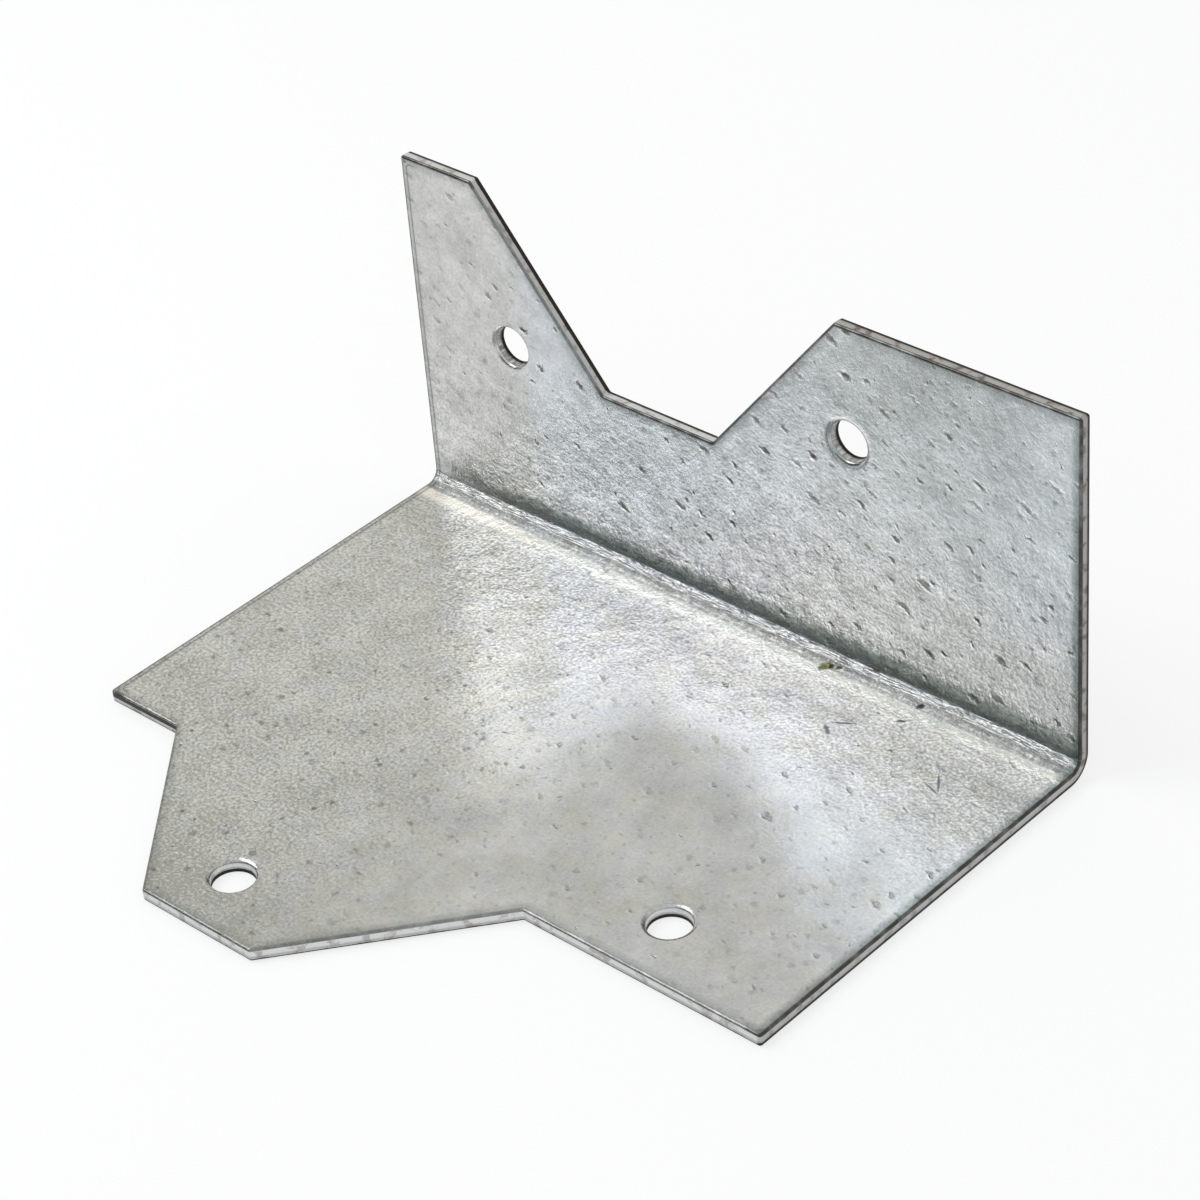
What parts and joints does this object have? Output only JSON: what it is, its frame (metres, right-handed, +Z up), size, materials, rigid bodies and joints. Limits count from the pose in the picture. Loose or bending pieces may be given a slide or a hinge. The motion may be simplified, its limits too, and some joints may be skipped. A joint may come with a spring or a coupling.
{
  "type": "angle bracket",
  "caption": "Right-angle steel bracket folded from one sheet, with a notched standing leg, a tongued floor leg and nail holes, for tying two timbers together at a corner.",
  "frame": {"origin": "middle of the footprint, on the underside of the floor leg", "axes": "+X along the bend towards the wide tab, +Y from the tongue back to the standing leg, +Z up the standing leg"},
  "size_m": [0.0762, 0.061, 0.0365],
  "materials": {
    "galvanised_steel": "hot-dip galvanised sheet, satin grey with fine mottling and small dark pits"
  },
  "bodies": {
    "root": {"angle_bracket": "galvanised_steel"}
  },
  "joints": []
}
